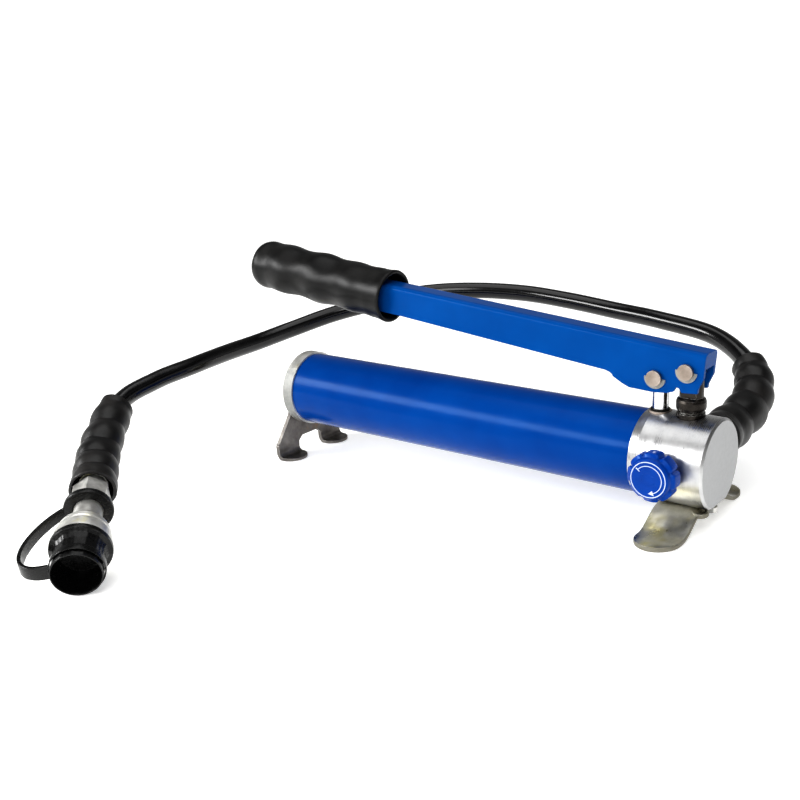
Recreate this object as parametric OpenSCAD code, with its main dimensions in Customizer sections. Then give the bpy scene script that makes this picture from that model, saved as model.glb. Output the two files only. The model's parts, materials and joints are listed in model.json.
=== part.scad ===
// Hydraulic hand pump: tube reservoir, steel head, lever, hose and quick coupler.
// The pump stands on its two feet, nose slightly down. +Z is up, +X points from the
// grip to the head. The origin is on the floor, under the middle of the pump.

/* [Reservoir] */
// Outside diameter of the reservoir tube
tube_d = 54; // [52:0.5:56]
// Wall thickness of the reservoir tube
tube_wall = 3; // [2:0.5:3.5]
// Visible length of the reservoir tube
tube_len = 282; // [240:1:320]
// Diameter of the rear cap
cap_d = 56.4; // [55:0.2:58]
// Length of the rear cap behind the tube
cap_len = 11; // [9:0.5:14]

/* [Head] */
// Diameter of the pump head
head_d = 57.2; // [56:0.2:60]
// Length of the pump head in front of the tube
head_len = 48.6; // [48:0.2:52]

/* [Lever] */
// Angle between the lever and the tube at rest
lever_angle = 5; // [3:0.5:8]
// Outside width of the lever channel
lever_w = 17; // [16:0.5:19]
// Plate thickness of the lever channel
lever_t = 2.5; // [2:0.1:2.8]
// Distance from the fulcrum pin to the end of the grip
lever_reach = 358; // [330:1:400]
// Length of the rubber grip
grip_len = 129; // [110:1:140]
// Largest diameter of the rubber grip
grip_d = 39; // [36:0.5:42]

/* [Pump piston] */
// Diameter of the plunger rod
rod_d = 10; // [9:0.5:10]
// Diameter of the two lever pins
pin_d = 7; // [6:0.5:7]

/* [Release valve] */
// Diameter of the release knob
knob_d = 31; // [28:1:34]
// Number of grip lobes round the knob
knob_lobes = 8; // [6:1:10]

/* [Hose] */
// Outside diameter of the hose
hose_d = 13.5; // [12:0.5:13.5]
// Length of each rubber bend sleeve
sleeve_len = 96; // [90:1:110]
// Diameter of each bend sleeve at its wide end
sleeve_d = 31; // [29:0.5:32]

/* [Coupler] */
// Diameter of the dust cap's mouth
dust_cap_d = 31; // [30:0.5:33]
// Slope of the coupler, whose dust cap lies on the floor
coupler_pitch = 15; // [13:0.5:17]

/* [Hidden] */
$fn = 48;

// ---- the pump's own frame: x along the tube, 0 at the head's front face ----
front_drop = 38.8;      // tube axis to the floor at the front foot
rear_drop = 51.7;       // tube axis to the floor at the rear bracket
foot_x = -20.5;
seam_x = -head_len;
cap_x = seam_x - tube_len;
rear_x = cap_x - cap_len;
feet_span = 320;
tilt = atan((rear_drop - front_drop) / feet_span);
axis_h = front_drop * cos(tilt) + foot_x * sin(tilt);
row_x = 187.2;          // puts the middle of the pump over the origin

head_r = head_d / 2;
spigot_r = tube_d / 2 - tube_wall - 0.05;
spigot_len = 16;
groove_w = 3.4;
groove_depth = 2.2;
thread_gap = 0.02;

// fulcrum pin and plunger pin
fulcrum_x = -20.1;
fulcrum_z = 57.7;
plunger_x = -40.2;
plunger_pin_z = 51.3;
post_r = 7.25;
post_thread_r = 6;
post_seat_z = 26.8;
eye_r = 8;
gland_r = 7;
gland_seat_z = 27;
seal_z = 12.6;
gland_bottom_z = 16;
bore_floor_z = -2;
rod_foot_z = 1.5;

// release valve, bored in from the knob side
valve_x = -26;
valve_gland_r = 7.5;
valve_seat_y = -27;
knob_back_y = -32.4;
knob_front_y = -45;
spindle_r = 4;
ball_r = 2.5;
release_seat_y = -7;
release_hole_r = 1.5;
valve_ball_y = release_seat_y - sqrt(ball_r ^ 2 - release_hole_r ^ 2) - 0.02;

// outlet port on the far side
outlet_x = -18;
outlet_z = 4;
outlet_seat_y = 27.5;
outlet_face_y = 36;

// check valve and relief valve, bored in from below
check_x = -16;
check_y = 9;
check_seat_z = -6;
check_hole_r = 1.8;
check_ball_r = 3;
check_plug_top = -18.5;
foot_seat_z = 13;       // height of the head's flat above the floor
foot_w = 29;
foot_reach = 58.7;
foot_t = 3;
foot_screw_xs = [-7, 14];

// ---- the lever's own frame: u from the fulcrum pin to the grip, w up ----
lever_top = 12.8;
channel_end = lever_reach - 14;
nose_u = -10.8;
nose_wall_w = 3;         // the nose is closed down to here, clear of the post
heel = [1.6, -13.8];
belly = [36, -18.2];
neck_start = [55, -10.7];
neck_end = [216, -7.4];
grip_w = 2.3;
grip_rise = 1.2;        // the grip points up by this much more than the lever
rear_pin_u = (fulcrum_x - plunger_x) * cos(lever_angle)
    + (plunger_pin_z - fulcrum_z) * sin(lever_angle);
rear_pin_w = (plunger_x - fulcrum_x) * sin(lever_angle)
    + (plunger_pin_z - fulcrum_z) * cos(lever_angle);
pin_head_d = 9.8;

// ---- the coupler's own frame: z towards the dust cap's mouth, 0 at the mouth ----
coupler_yaw = -45;
cap_r = dust_cap_d / 2;
mouth = [-90.1, -268.6, cap_r * cos(coupler_pitch)];
coupler_dir = [
    cos(coupler_pitch) * cos(coupler_yaw),
    cos(coupler_pitch) * sin(coupler_yaw),
    -sin(coupler_pitch)
];
hex_back = -84;
hex_front = -68;
neck_r = 10.2;
waist_r = 9;
nose_r = 9.5;
nose_front = -21.5;
collar_back = -46;
collar_front = -26;

// ---- route of the hose, from the outlet adapter to the coupler's hexagon ----
function to_row(p) = [
    row_x + p[0] * cos(tilt) + p[2] * sin(tilt),
    p[1],
    axis_h - p[0] * sin(tilt) + p[2] * cos(tilt)
];
hose_start = to_row([outlet_x, outlet_face_y, outlet_z]);
hose_end = mouth + hex_back * coupler_dir;
ferrule_len = 24;
sleeve_gap = 1.5;
ROUTE = concat(
    [hose_start, hose_start + [0, 14, 0], hose_start + [0, 28, 0.5]],
    [
        [170.5, 88, 48],
        [165.5, 110.5, 57.5],
        [150.5, 129.5, 69.5],
        [118, 151, 79.5],
        [70, 163.5, 85],
        [29, 172, 88],
        [-14, 175, 93],
        [-56, 171, 98],
        [-98, 157, 101],
        [-134, 136, 101],
        [-166, 110, 96],
        [-193, 82, 90],
        [-211, 50, 83],
        [-218, 14, 79],
        [-218, -23, 78],
        [-215, -60, 77],
        [-215, -98, 74.5],
        [-208.5, -137, 68]
    ],
    [hose_end - 44 * coupler_dir, hose_end - 22 * coupler_dir, hose_end]
);
spans = len(ROUTE) - 1;

function unit(v) = v / norm(v);
function knot(i) = ROUTE[min(max(i, 0), spans)];
function slope_at(i) = (knot(i + 1) - knot(i - 1)) / (i <= 0 || i >= spans ? 1 : 2);

// a point and a direction on the route; s counts the spans between its points
function route_point(s) =
    let (i = min(floor(s), spans - 1), t = s - i)
    (2 * t ^ 3 - 3 * t ^ 2 + 1) * knot(i)
        + (t ^ 3 - 2 * t ^ 2 + t) * slope_at(i)
        + (3 * t ^ 2 - 2 * t ^ 3) * knot(i + 1)
        + (t ^ 3 - t ^ 2) * slope_at(i + 1);
function route_dir(s) =
    let (h = 0.02, a = max(s - h, 0), b = min(s + h, spans))
    unit(route_point(b) - route_point(a));

// how far along the route each of its small steps lies, as [distance, s]
station_step = 0.1;
STATIONS = [
    for (
        s = 0, d = 0;
        s < spans + station_step / 2;
        d = d + norm(route_point(min(s + station_step, spans)) - route_point(s)),
        s = s + station_step
    )
    [d, s]
];
hose_len = STATIONS[len(STATIONS) - 1][0];

// a ring of n points with radius r round the route, a distance d from its start
function ring_at(d, r, n) =
    let (
        s = lookup(d, STATIONS),
        t = route_dir(s),
        side = unit(cross(t, [0, 0, 1])),
        up = cross(side, t),
        c = route_point(s)
    )
    [for (k = [0:n - 1]) c + r * (cos(360 * k / n) * side + sin(360 * k / n) * up)];

// the faces of a solid whose rings follow each other and close at both ends
function wall_faces(rings, n) = [
    for (j = [0:rings - 2], k = [0:n - 1])
        let (a = j * n + k, b = j * n + (k + 1) % n)
        each [[a, b, b + n], [a, b + n, a + n]]
];
function end_faces(rings, n) = [
    [for (k = [n - 1:-1:0]) k],
    [for (k = [0:n - 1]) (rings - 1) * n + k]
];
function loop_faces(rings, n) = [
    for (j = [0:rings - 1], k = [0:n - 1])
        let (m = (j + 1) % rings, a = j * n + k, b = j * n + (k + 1) % n)
        let (c = m * n + k, d = m * n + (k + 1) % n)
        each [[a, b, d], [a, d, c]]
];
function joined(lists) = [for (a = lists) each a];

// ---- helpers ----
module placed() {
    translate([row_x, 0, axis_h]) rotate([0, tilt, 0]) children();
}
module on_lever() {
    placed() translate([fulcrum_x, 0, fulcrum_z])
        rotate([0, lever_angle, 0]) mirror([1, 0, 0]) children();
}
module on_coupler() {
    translate(mouth) rotate([0, 90 + coupler_pitch, coupler_yaw]) children();
}
module at_foot_screws() {
    for (x = foot_screw_xs) translate([row_x + foot_x + x, 0, 0]) children();
}
module rod_x(r, x0, x1, y = 0, z = 0) {
    translate([x0, y, z]) rotate([0, 90, 0]) cylinder(r = r, h = x1 - x0);
}
module rod_y(r, y0, y1, x = 0, z = 0) {
    translate([x, y0, z]) rotate([-90, 0, 0]) cylinder(r = r, h = y1 - y0);
}
module rod_z(r, z0, z1, x = 0, y = 0) {
    translate([x, y, z0]) cylinder(r = r, h = z1 - z0);
}
module bore_between(a, b, r) {
    d = b - a;
    translate(a) rotate([0, acos(d[2] / norm(d)), atan2(d[1], d[0])])
        cylinder(r = r, h = norm(d));
}
module ring_x(r_in, r_out, x0, x1) {
    translate([x0, 0, 0]) rotate([0, 90, 0]) difference() {
        cylinder(r = r_out, h = x1 - x0);
        translate([0, 0, -1]) cylinder(r = r_in, h = x1 - x0 + 2);
    }
}
module cut_ring(r_in, r_out, z0, z1) {
    rotate_extrude() translate([r_in, z0]) square([r_out - r_in, z1 - z0]);
}
// a coil spring along z, from z = 0 to z = h
module coil_spring(r, wire_r, h, turns) {
    steps = 12 * turns;
    sides = 6;
    rise = h - 2 * wire_r;
    rings = [
        for (j = [0:steps])
            let (a = 360 * turns * j / steps)
            [
                for (k = [0:sides - 1])
                    let (q = r + wire_r * cos(360 * k / sides))
                    [
                        q * cos(a),
                        q * sin(a),
                        wire_r + rise * j / steps + wire_r * sin(360 * k / sides)
                    ]
            ]
    ];
    polyhedron(
        points = joined(rings),
        faces = concat(wall_faces(steps + 1, sides), end_faces(steps + 1, sides))
    );
}

// ---- reservoir ----
module pump_head() {
    color("silver") difference() {
        placed() union() {
            rod_x(head_r, seam_x + 6, -1.5);
            translate([-1.5, 0, 0]) rotate([0, 90, 0])
                cylinder(r1 = head_r, r2 = head_r - 1.5, h = 1.5);
            translate([seam_x, 0, 0]) rotate([0, 90, 0])
                cylinder(r1 = tube_d / 2 + 0.3, r2 = head_r, h = 6);
            rod_x(spigot_r, seam_x - spigot_len, seam_x);
        }
        placed() head_bores();
        // flat seat and screw holes for the front foot, square to the floor
        translate([row_x + foot_x - 30, -40, 0]) cube([60, 80, foot_seat_z]);
        at_foot_screws() rod_z(2.5, foot_seat_z - 1, foot_seat_z + 12);
    }
}
module head_bores() {
    translate([seam_x - spigot_len / 2, 0, 0]) rotate([0, 90, 0])
        cut_ring(spigot_r - groove_depth, spigot_r + 2, -groove_w / 2, groove_w / 2);
    // tie rod and tank passages in the spigot
    rod_x(4, seam_x - spigot_len - 1, seam_x - 1);
    rod_x(3, seam_x - spigot_len - 1, seam_x - 6, 0, -16);
    rod_x(1.6, seam_x - 7, plunger_x, 0, -16);
    rod_x(1.6, seam_x - spigot_len - 1, valve_x, -14, -4);
    // pump chamber, seal seat and gland thread
    rod_z(rod_d / 2 + 0.6, bore_floor_z, head_r, plunger_x);
    rod_z(gland_r, seal_z, head_r, plunger_x);
    rod_z(gland_r + 0.4, gland_seat_z, head_r + 2, plunger_x);
    rod_z(3.6, -11, bore_floor_z + 1, plunger_x);
    rod_z(2, -17, -10, plunger_x);
    // fulcrum post thread and seat
    rod_z(post_thread_r, 14, head_r, fulcrum_x);
    rod_z(8.9, post_seat_z, head_r + 2, fulcrum_x);
    // release valve
    rod_y(valve_gland_r, -head_r - 1, -15, valve_x);
    rod_y(10.6, -head_r - 2, valve_seat_y, valve_x);
    rod_y(4.6, -16, -11.5, valve_x);
    rod_y(ball_r + 0.2, -12, release_seat_y, valve_x);
    rod_y(release_hole_r, release_seat_y - 1, 4, valve_x);
    // outlet port
    rod_y(6.6, 14, head_r, outlet_x, outlet_z);
    rod_y(11.4, outlet_seat_y, head_r + 2, outlet_x, outlet_z);
    bore_between([outlet_x, 16, outlet_z], [valve_x, 2, 0], 1.5);
    // discharge valve and relief valve
    for (side = [-1, 1]) {
        rod_z(4, -head_r, check_plug_top + 1, check_x, side * check_y);
        rod_z(3.7, -20, check_seat_z, check_x, side * check_y);
        rod_z(check_hole_r, check_seat_z - 1, -2, check_x, side * check_y);
    }
    bore_between([plunger_x, 0, -4.2], [check_x, check_y, -4.2], 1.5);
    bore_between([check_x, check_y, -9.5], [outlet_x, 17, 0], 1.5);
    bore_between([check_x, -check_y, -4.2], [valve_x, 2, 0], 1.2);
    bore_between([check_x, -check_y, -13], [valve_x, -14, -3], 1.2);
}
module reservoir_tube() {
    color("royalblue") placed() difference() {
        rod_x(tube_d / 2, cap_x, seam_x);
        rod_x(tube_d / 2 - tube_wall, cap_x - 1, seam_x + 1);
    }
}
module rear_cap() {
    color("lightgray") placed() difference() {
        union() {
            rod_x(cap_d / 2, rear_x + 2, cap_x);
            translate([rear_x, 0, 0]) rotate([0, 90, 0])
                cylinder(r1 = cap_d / 2 - 2, r2 = cap_d / 2, h = 2);
            rod_x(spigot_r, cap_x, cap_x + spigot_len);
        }
        rod_x(4.2, rear_x - 1, cap_x + spigot_len + 1);
        rod_x(6, rear_x - 1, cap_x + spigot_len + 1, 0, 16.5);
        translate([cap_x + spigot_len / 2, 0, 0]) rotate([0, 90, 0])
            cut_ring(spigot_r - groove_depth, spigot_r + 2, -groove_w / 2, groove_w / 2);
    }
}
module tank_seals() {
    seal_r = 1.05;
    color("black") placed()
        for (x = [seam_x - spigot_len / 2, cap_x + spigot_len / 2])
            translate([x, 0, 0]) rotate([0, 90, 0]) rotate_extrude()
                translate([spigot_r - seal_r - 0.02, 0]) circle(r = seal_r, $fn = 24);
}
module tie_rod() {
    color("gainsboro") placed() rod_x(4 - thread_gap, rear_x - 11, seam_x - 4);
}
module tie_rod_nut() {
    bracket_t = 3;
    back = rear_x - bracket_t;
    color("gainsboro") placed() difference() {
        union() {
            rod_x(8.5, back - 1.6, back);
            rod_x(7.5, back - 8, back - 1.6, $fn = 6);
            translate([back - 8, 0, 0]) rotate([0, -90, 0])
                cylinder(r1 = 6, r2 = 3.5, h = 4);
        }
        rod_x(4, back - 8.4, back + 1);
    }
}
module filler_plug() {
    color("darkgoldenrod") placed() translate([0, 0, 16.5]) difference() {
        union() {
            rod_x(6 - thread_gap, rear_x, cap_x + 2);
            rod_x(7.6, rear_x - 1.5, rear_x);
            rod_x(7, rear_x - 7, rear_x - 1.5, $fn = 6);
        }
        rod_x(0.8, rear_x - 8, cap_x + 3);
    }
}
module suction_strainer() {
    back = seam_x - 58;
    color("darkkhaki") placed() translate([0, 0, -16]) difference() {
        union() {
            rod_x(3 - thread_gap, back + 20, seam_x - 7);
            rod_x(5.6, back, back + 22);
        }
        rod_x(1.6, back + 5, seam_x);
        rod_x(4.4, back + 2, back + 19);
    }
}

// ---- valves inside the head ----
module suction_ball() {
    r = 3;
    seat_hole_r = 2;
    color("gray") placed()
        translate([plunger_x, 0, -11 + sqrt(r ^ 2 - seat_hole_r ^ 2) + 0.02]) sphere(r);
}
module valve_ball(side) {
    sit = sqrt(check_ball_r ^ 2 - check_hole_r ^ 2) + 0.02;
    color("gray") placed()
        translate([check_x, side * check_y, check_seat_z - sit]) sphere(check_ball_r);
}
module valve_spring(side) {
    top = check_seat_z - check_ball_r - 2.5;
    color("silver") placed()
        translate([check_x, side * check_y, check_plug_top])
            coil_spring(2.5, 0.4, top - check_plug_top, 4);
}
module valve_plug(side) {
    bottom = -24.6;
    color("dimgray") placed() difference() {
        rod_z(4 - thread_gap, bottom, check_plug_top - 0.02, check_x, side * check_y);
        rod_z(2.3, bottom - 1, bottom + 3, check_x, side * check_y, $fn = 6);
    }
}
module discharge_ball() valve_ball(1);
module discharge_spring() valve_spring(1);
module discharge_plug() valve_plug(1);
module relief_ball() valve_ball(-1);
module relief_spring() valve_spring(-1);
module relief_screw() valve_plug(-1);

// ---- feet ----
// height of the front foot's underside at distance y from the middle
function foot_rise(y) =
    let (pad = 13, sole = 42, t = min(max((abs(y) - pad) / (sole - pad), 0), 1))
    (foot_seat_z - foot_t) * (0.5 + 0.5 * cos(180 * t));
module front_foot() {
    steps = 40;
    ys = [for (k = [0:steps]) -foot_reach + 2 * foot_reach * k / steps];
    outline = concat(
        [for (y = ys) [y, foot_rise(y)]],
        [for (k = [steps:-1:0]) [ys[k], foot_rise(ys[k]) + foot_t]]
    );
    wing_r = foot_w / 2;
    color("tan") difference() {
        translate([row_x + foot_x, 0, 0]) intersection() {
            translate([-40, 0, 0]) rotate([90, 0, 90])
                linear_extrude(80) polygon(outline);
            union() {
                translate([-wing_r, wing_r - foot_reach, -1])
                    cube([foot_w, 2 * (foot_reach - wing_r), 20]);
                for (s = [-1, 1]) translate([0, s * (foot_reach - wing_r), -1])
                    cylinder(r = wing_r, h = 20);
                translate([wing_r, -16, -1]) cylinder(r = 5, h = 20);
            }
        }
        at_foot_screws() rod_z(2.7, 0, 20);
    }
}
module foot_screws() {
    under = foot_seat_z - foot_t;
    color("gainsboro") at_foot_screws() difference() {
        union() {
            rod_z(2.5 - thread_gap, under - 1, foot_seat_z + 11);
            rod_z(4.2, under - 3.2, under);
        }
        rod_z(2.2, under - 4, under - 1.4, $fn = 6);
    }
}
module rear_bracket() {
    t = 3;
    top_y = 13;
    shoulder = [35.6, -40.5];
    bridge_z = -38.5;
    leg_in = 12.5;
    half = [
        [0, 8], [8, 7.5], [top_y, 0], [20, -19], shoulder,
        [35.2, -44], [35.2, -45.8], [leg_in + 0.3, -45.8], [leg_in, -42], [leg_in - 4, bridge_z]
    ];
    outline = concat(
        half,
        [for (k = [len(half) - 1:-1:1]) [-half[k][0], half[k][1]]]
    );
    back = rear_x - t;
    color("dimgray") difference() {
        placed() union() {
            difference() {
                translate([back, 0, 0]) rotate([90, 0, 90])
                    linear_extrude(t) polygon(outline);
                rod_x(4.2, back - 1, rear_x + 1);
            }
            for (s = [-1, 1]) intersection() {
                translate([back, s * 24 + 11.2, -rear_drop - 0.6]) rotate([90, 0, 0])
                    linear_extrude(22.4) bracket_bend(t);
                translate([back, s * 24 - 11.2, -rear_drop - 1]) union() {
                    cube([6.5, 22.4, 20]);
                    translate([6.5, 11.2, 0]) cylinder(r = 11.2, h = 20);
                }
            }
        }
        translate([-250, -100, -40]) cube([500, 200, 40]);
    }
}
// side view of a leg's lower end, folded forward into its sole
module bracket_bend(t) {
    bend = 6.5;
    translate([0, bend]) square([t, 7]);
    translate([bend, 0]) square([12, t]);
    intersection() {
        translate([bend, bend]) difference() {
            circle(r = bend);
            circle(r = bend - t);
        }
        square([bend, bend]);
    }
}

// ---- lever mechanism ----
module fulcrum_post() {
    flat_w = lever_w - 2 * lever_t - 1.6;
    color("black") placed() difference() {
        union() {
            rod_z(post_thread_r - thread_gap, 15, 28, fulcrum_x);
            translate([fulcrum_x, 0, 0]) rotate_extrude() polygon([
                [0, post_seat_z], [8.6, post_seat_z], [8.6, 30.4], [7.9, 31],
                [7.9, 31.8], [8.8, 32.6], [9.1, 34], [9.1, 37.5], [8.6, 39],
                [post_r, 40.2], [0, 40.2]
            ]);
            intersection() {
                union() {
                    rod_z(post_r, 40, fulcrum_z, fulcrum_x);
                    rod_y(post_r, -10, 10, fulcrum_x, fulcrum_z);
                }
                translate([fulcrum_x - 10, -flat_w / 2, 40]) cube([20, flat_w, 40]);
            }
        }
        rod_y(pin_d / 2 + 0.05, -20, 20, fulcrum_x, fulcrum_z);
    }
}
module plunger_gland() {
    color("dimgray") placed() difference() {
        union() {
            rod_z(gland_r - thread_gap, gland_bottom_z, gland_seat_z, plunger_x);
            rod_z(gland_r, gland_seat_z, 28.8, plunger_x);
        }
        rod_z(rod_d / 2 + 0.3, gland_bottom_z - 1, 32, plunger_x);
        rod_z(rod_d / 2 + 0.8, 27.4, 32, plunger_x);
    }
}
module rod_wiper() {
    color("black") placed() translate([plunger_x, 0, 0])
        cut_ring(rod_d / 2 + 0.06, rod_d / 2 + 0.78, 27.42, 30);
}
module plunger_seal() {
    color("goldenrod") placed() translate([plunger_x, 0, 0])
        cut_ring(rod_d / 2 + 0.06, gland_r - 0.02, seal_z + 0.02, gland_bottom_z - 0.02);
}
module pump_plunger() {
    slot_r = pin_d / 2 + 0.4;
    slot_reach = 1.1;
    eye_w = lever_w - 2 * lever_t - 2;
    color("gainsboro") placed() difference() {
        union() {
            rod_z(rod_d / 2, rod_foot_z, plunger_pin_z - 4, plunger_x);
            rod_y(eye_r, -eye_w / 2, eye_w / 2, plunger_x, plunger_pin_z);
        }
        for (s = [-1, 1])
            rod_y(slot_r, -20, 20, plunger_x + s * slot_reach, plunger_pin_z);
        translate([plunger_x - slot_reach, -20, plunger_pin_z - slot_r])
            cube([2 * slot_reach, 40, 2 * slot_r]);
    }
}
module lever_side() {
    polygon(concat(
        [[nose_u, lever_top], [channel_end, lever_top], [channel_end, neck_end[1]]],
        [neck_end, neck_start],
        [for (a = [0:15:90]) [47, -13.5] + [8 - 8 * sin(a) * 0.9, 2.8 - 2.8 * (1 - cos(a))]],
        [[41, -16.6], belly, [20, -17.6], [11, -16], [7, -14.2], [5.6, -11], [3.6, -11.4]],
        [heel, [-8.2, -12.2], [-8.2, -9.6], [nose_u, -2.5]]
    ));
}
module lever_section() {
    bend = 3.4;
    depth = 40;
    half = lever_w / 2;
    difference() {
        union() {
            translate([-half, lever_top - depth]) square([lever_w, depth - bend]);
            translate([bend - half, lever_top - bend]) square([lever_w - 2 * bend, bend]);
            for (s = [-1, 1])
                translate([s * (half - bend), lever_top - bend]) circle(r = bend);
        }
        translate([lever_t - half, -depth])
            square([lever_w - 2 * lever_t, depth + lever_top - lever_t]);
    }
}
module lever_channel() {
    color("blue") on_lever() difference() {
        intersection() {
            translate([0, lever_w, 0]) rotate([90, 0, 0])
                linear_extrude(2 * lever_w) lever_side();
            union() {
                translate([-20, 0, 0]) rotate([90, 0, 90])
                    linear_extrude(lever_reach + 20) lever_section();
                translate([nose_u, -lever_w / 2 + 1, nose_wall_w])
                    cube([lever_t, lever_w - 2, lever_top - 1 - nose_wall_w]);
            }
        }
        rod_y(pin_d / 2, -20, 20, 0, 0);
        rod_y(pin_d / 2, -20, 20, rear_pin_u, rear_pin_w);
    }
}
// radius of the grip at distance a from its front rim
function grip_radius(a) =
    let (
        r = grip_d / 2,
        rim = a < 9 ? 0.9 - 0.1 * a : 0,
        wave = a < 14 || a > grip_len - 18 ? 0 : 1.1 * (1 - cos(360 * (a - 14) / 33)),
        dome_len = 10,
        d = max(a - (grip_len - dome_len), 0) / dome_len
    )
    (r - 1.3 + rim - wave * 0.75) * (1 - 0.34 * d ^ 2.4);
module lever_grip() {
    front = lever_reach - grip_len;
    steps = 44;
    hole = lever_w + 0.2;
    color("black") on_lever() difference() {
        translate([front, 0, grip_w]) rotate([0, 90 - grip_rise, 0]) rotate_extrude()
            polygon(concat(
                [[0, 0]],
                [for (k = [0:steps]) let (a = grip_len * k / steps) [grip_radius(a), a]],
                [[0, grip_len]]
            ));
        translate([0, 0, grip_w]) rod_x(14.8, front - 1, front + 12);
        translate([front, -hole / 2, neck_end[1] - 0.1])
            cube([channel_end - front + 0.2, hole, lever_top - neck_end[1] + 0.2]);
    }
}
module lever_pin(u, w) {
    half = lever_w / 2;
    groove = 0.5;
    color("silver") on_lever() difference() {
        union() {
            rod_y(pin_d / 2 - 0.01, -half - 0.9, half + 3, u, w);
            rod_y(pin_head_d / 2, -half - 2.9, -half - 0.9, u, w);
        }
        translate([u, half + 0.9, w]) rotate([-90, 0, 0]) difference() {
            cylinder(r = pin_d, h = 0.9);
            translate([0, 0, -1]) cylinder(r = pin_d / 2 - groove, h = 3);
        }
    }
}
module fulcrum_pin() lever_pin(0, 0);
module plunger_pin() lever_pin(rear_pin_u, rear_pin_w);
module spring_clip(r_in, r_out, gap_w) {
    rotate([90, 0, 0]) linear_extrude(0.8) difference() {
        circle(r = r_out);
        circle(r = r_in);
        translate([-gap_w / 2, 0]) square([gap_w, 20]);
    }
}
module pin_clips() {
    half = lever_w / 2;
    color("silver") on_lever() for (p = [[0, 0], [rear_pin_u, rear_pin_w]]) {
        translate([p[0], half + 1.75, p[1]])
            spring_clip(pin_d / 2 - 0.48, pin_d / 2 + 2.6, pin_d * 0.7);
        translate([p[0], -half - 0.05, p[1]]) spring_clip(pin_d / 2 + 0.02, 6.9, 20);
    }
}

// ---- release valve ----
module release_gland() {
    color("silver") placed() difference() {
        union() {
            rod_y(valve_gland_r - thread_gap, valve_seat_y, -16, valve_x);
            rod_y(10.2, valve_seat_y - 4.4, valve_seat_y, valve_x, $fn = 6);
        }
        rod_y(spindle_r + 0.06, -40, -10, valve_x);
    }
}
module release_spindle() {
    tip_y = valve_ball_y - ball_r - 0.3;
    color("gainsboro") placed() union() {
        rod_y(spindle_r, -43.5, tip_y - 3, valve_x);
        translate([valve_x, tip_y - 3, 0]) rotate([-90, 0, 0])
            cylinder(r1 = spindle_r, r2 = 2, h = 3);
    }
}
module release_ball() {
    color("gray") placed() translate([valve_x, valve_ball_y, 0]) sphere(ball_r);
}
module release_knob() {
    lobe_r = knob_d / 2;
    skirt_y = knob_front_y + 4;
    scoop_r = 5;
    scoop_at = lobe_r + 3.4;
    color("mediumblue") placed() difference() {
        union() {
            rod_y(lobe_r, knob_front_y + 1.2, knob_back_y, valve_x);
            translate([valve_x, knob_front_y, 0]) rotate([-90, 0, 0])
                cylinder(r1 = lobe_r - 2.6, r2 = lobe_r - 1.2, h = 1.3);
        }
        for (k = [0:knob_lobes - 1]) let (a = 360 * (k + 0.5) / knob_lobes)
            rod_y(scoop_r, -60, -20, valve_x + scoop_at * cos(a), scoop_at * sin(a));
        rod_y(spindle_r + 0.05, knob_front_y + 1, -20, valve_x);
        rod_y(11.3, skirt_y + 5, -20, valve_x);
        translate([valve_x, knob_front_y - 1, 0]) rotate([-90, 0, 0])
            cut_ring(8.2, 11.2, 0, 1.6);
    }
}
module knob_dial() {
    color("white") placed() translate([valve_x, knob_front_y, 0]) rotate([-90, 0, 0])
        cut_ring(8.25, 11.15, 0.02, 0.55);
}

// ---- hose assembly ----
module outlet_adapter() {
    color("silver") placed() difference() {
        union() {
            rod_y(6.6 - thread_gap, 15, outlet_seat_y, outlet_x, outlet_z);
            rod_y(10.9, outlet_seat_y, outlet_face_y, outlet_x, outlet_z, $fn = 6);
        }
        rod_y(2.5, 10, 40, outlet_x, outlet_z);
    }
}
module ferrule() {
    r = 9.4;
    difference() {
        cylinder(r = r, h = ferrule_len);
        translate([0, 0, -1]) cylinder(r = hose_d / 2 + 0.15, h = ferrule_len + 2);
        for (z = [6, 12, 18]) cut_ring(r - 0.5, r + 2, z - 1, z + 1);
    }
}
module pump_ferrule() {
    color("silver") translate(hose_start + [0, 0.5, 0]) rotate([-90, 0, 0]) ferrule();
}
module coupler_ferrule() {
    color("silver") on_coupler() translate([0, 0, hex_back - 0.5])
        mirror([0, 0, 1]) ferrule();
}
module hose() {
    sides = 12;
    rings = 77;
    color("black") polyhedron(
        points = joined([
            for (j = [0:rings - 1])
                ring_at(hose_len * j / (rings - 1), hose_d / 2, sides)
        ]),
        faces = concat(wall_faces(rings, sides), end_faces(rings, sides))
    );
}
// a rubber sleeve on the hose, wide at distance d_wide and narrow at d_thin
module bend_sleeve(d_wide, d_thin) {
    sides = 16;
    steps = 30;
    bore_step = 9;
    wide_r = sleeve_d / 2;
    thin_r = wide_r - 3.6;
    outer = [
        for (k = [0:steps])
            let (
                t = k / steps,
                edge = k == 0 || k == steps ? -1 : 0,
                rib = 0.9 * cos(360 * 6 * t)
            )
            ring_at(
                d_wide + (d_thin - d_wide) * t,
                wide_r + (thin_r - wide_r) * t ^ 1.4 + rib + edge - 0.9,
                sides
            )
    ];
    inner = [
        for (k = [steps:-1:0])
            ring_at(
                d_wide + (d_thin - d_wide) * k / steps,
                k <= bore_step ? 10 : hose_d / 2 + 0.5,
                sides
            )
    ];
    all_rings = concat(outer, inner);
    faces = loop_faces(len(all_rings), sides);
    flipped = d_wide > d_thin;
    polyhedron(
        points = joined(all_rings),
        faces = flipped ? [for (f = faces) [f[2], f[1], f[0]]] : faces
    );
}
module pump_sleeve() {
    color("dimgray") bend_sleeve(sleeve_gap, sleeve_gap + sleeve_len);
}
module coupler_sleeve() {
    far = hose_len - sleeve_gap;
    color("dimgray") bend_sleeve(far, far - sleeve_len);
}

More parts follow.
